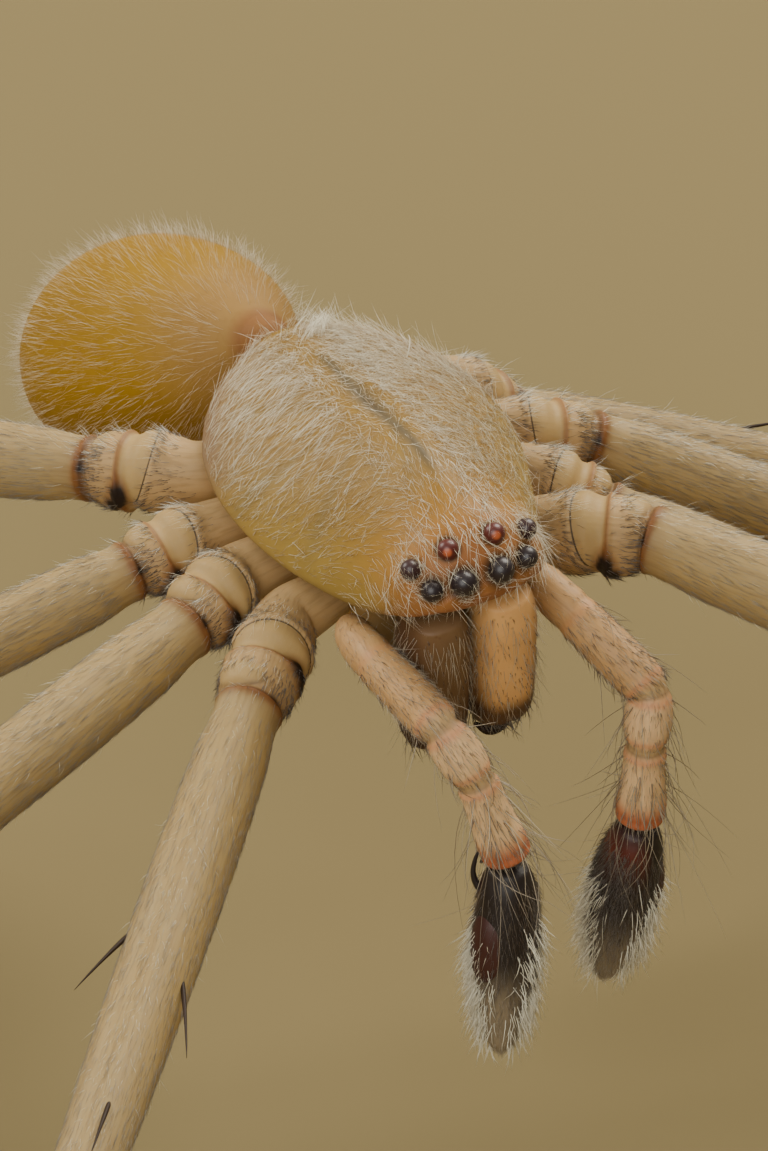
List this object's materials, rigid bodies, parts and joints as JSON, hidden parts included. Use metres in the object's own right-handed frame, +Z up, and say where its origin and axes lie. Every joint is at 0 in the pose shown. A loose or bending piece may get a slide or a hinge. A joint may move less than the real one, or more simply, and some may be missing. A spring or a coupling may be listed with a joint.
{
  "type": "northern yellow sac spider",
  "caption": "Life-size still model of a male yellow sac spider standing with its legs spread, palps hanging and abdomen drooping.",
  "frame": {"origin": "on the floor, below the middle of the leg span", "axes": "+Z up from the floor; the spider faces -Y, and its left is +X"},
  "size_m": [0.0232, 0.022, 0.0049],
  "materials": {
    "carapace": "pale honey-coloured shell with fine white silky hairs",
    "underside": "pale straw-coloured skin, matt",
    "leg": "translucent straw-coloured cuticle, short dark hairs",
    "leg_joint": "straw-coloured cuticle with orange-brown rims at the joints",
    "palp": "beige to orange-tan cuticle with dark bristles",
    "cymbium": "black-brown, densely haired",
    "chelicera": "amber to dark brown, slightly glossy",
    "fang": "black-brown, glossy",
    "eye": "dark red-brown to black, glossy lens",
    "abdomen": "mustard-amber skin under white down"
  },
  "bodies": {
    "root": {"abdomen": "abdomen", "carapace": "carapace", "chelicera_left": "chelicera", "chelicera_right": "chelicera", "endite_left": "underside", "endite_right": "underside", "eye_front_lateral_left": "eye", "eye_front_lateral_right": "eye", "eye_front_median_left": "eye", "eye_front_median_right": "eye", "eye_rear_lateral_left": "eye", "eye_rear_lateral_right": "eye", "eye_rear_median_left": "eye", "eye_rear_median_right": "eye", "fang_left": "fang", "fang_right": "fang", "labium": "underside", "leg_1_left_base": "leg_joint", "leg_1_left_femur": "leg", "leg_1_left_foot": "leg", "leg_1_left_tibia": "leg", "leg_1_right_base": "leg_joint", "leg_1_right_femur": "leg", "leg_1_right_foot": "leg", "leg_1_right_tibia": "leg", "leg_2_left_base": "leg_joint", "leg_2_left_femur": "leg", "leg_2_left_foot": "leg", "leg_2_left_tibia": "leg", "leg_2_right_base": "leg_joint", "leg_2_right_femur": "leg", "leg_2_right_foot": "leg", "leg_2_right_tibia": "leg", "leg_3_left_base": "leg_joint", "leg_3_left_femur": "leg", "leg_3_left_foot": "leg", "leg_3_left_tibia": "leg", "leg_3_right_base": "leg_joint", "leg_3_right_femur": "leg", "leg_3_right_foot": "leg", "leg_3_right_tibia": "leg", "leg_4_left_base": "leg_joint", "leg_4_left_femur": "leg", "leg_4_left_foot": "leg", "leg_4_left_tibia": "leg", "leg_4_right_base": "leg_joint", "leg_4_right_femur": "leg", "leg_4_right_foot": "leg", "leg_4_right_tibia": "leg", "palp_left_cymbium": "cymbium", "palp_left_femur": "palp", "palp_left_tibia": "palp", "palp_right_cymbium": "cymbium", "palp_right_femur": "palp", "palp_right_tibia": "palp", "pedicel": "underside", "spinnerets": "underside", "sternum": "underside"}
  },
  "joints": []
}
